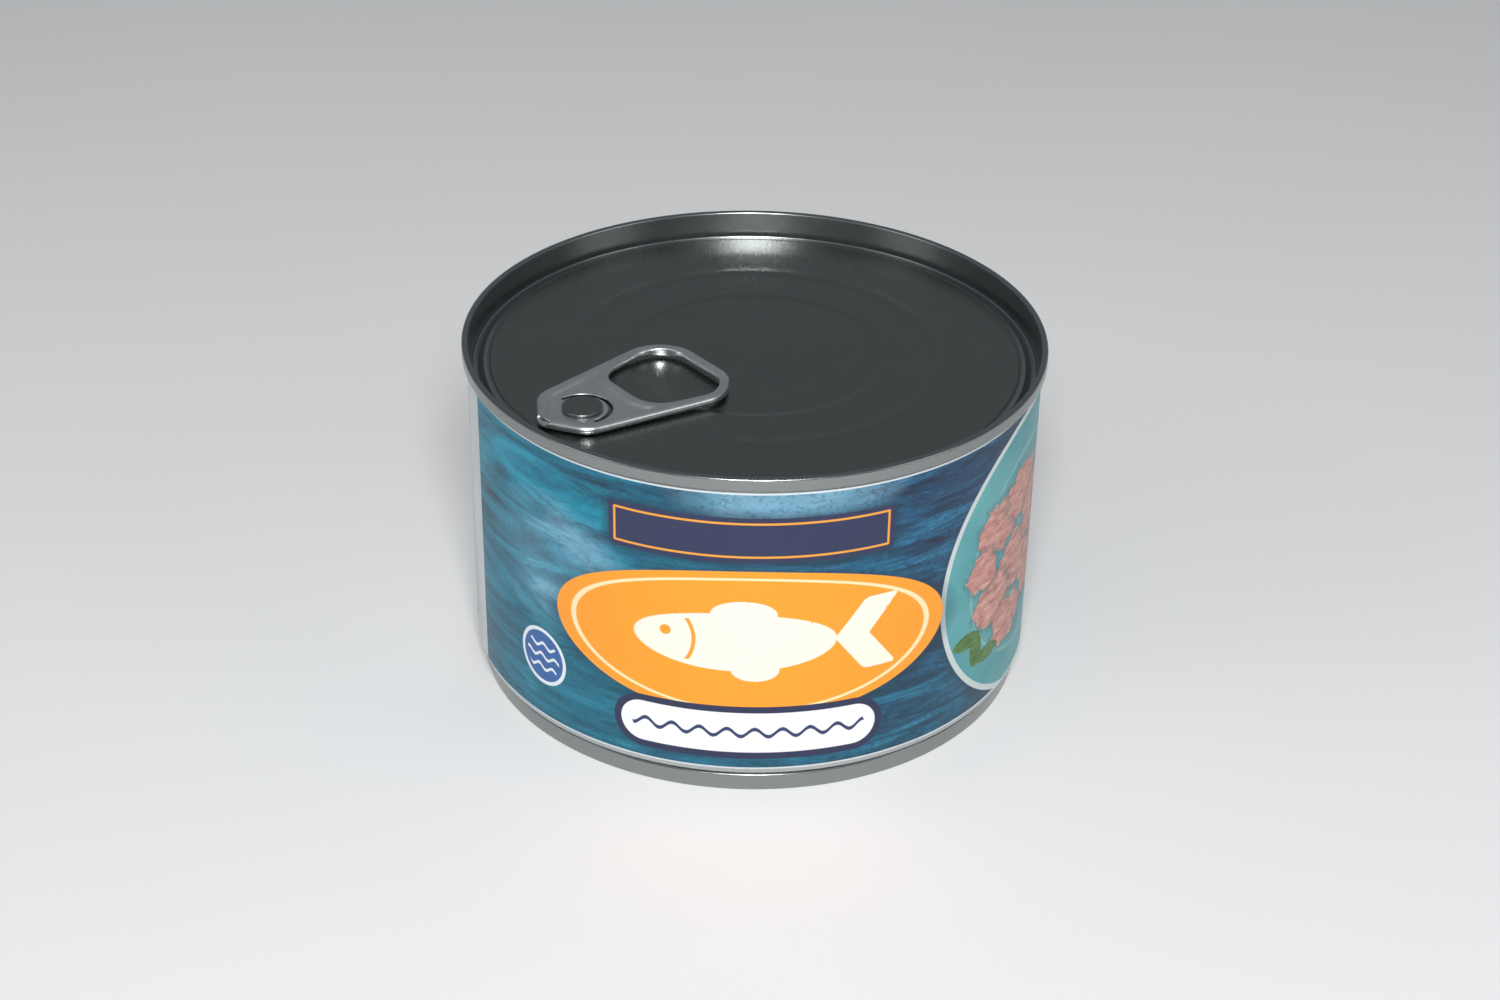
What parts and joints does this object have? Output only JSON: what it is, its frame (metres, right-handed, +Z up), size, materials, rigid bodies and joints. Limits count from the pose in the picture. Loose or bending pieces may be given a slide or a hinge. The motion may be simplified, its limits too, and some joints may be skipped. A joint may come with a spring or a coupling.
{
  "type": "tuna can",
  "caption": "Shut round food can with an easy-open ring-pull end, a necked-in bottom seam and a wrapped, printed paper label.",
  "frame": {"origin": "centre of the can's bottom, on the surface it stands on", "axes": "+Z up along the can's axis, -Y towards the middle of the label's front; the pull tab's nose points to -X -Y"},
  "size_m": [0.1014, 0.1014, 0.062],
  "materials": {
    "can_steel": "satin tinplate",
    "end_steel": "semi-gloss lacquered tinplate",
    "tab_steel": "satin tinplate",
    "label": "coated printed paper, semi-gloss"
  },
  "bodies": {
    "root": {"can_body": "can_steel", "bottom_end": "can_steel", "easy_open_end": "end_steel", "pull_tab": "tab_steel", "paper_label": "label"}
  },
  "joints": []
}
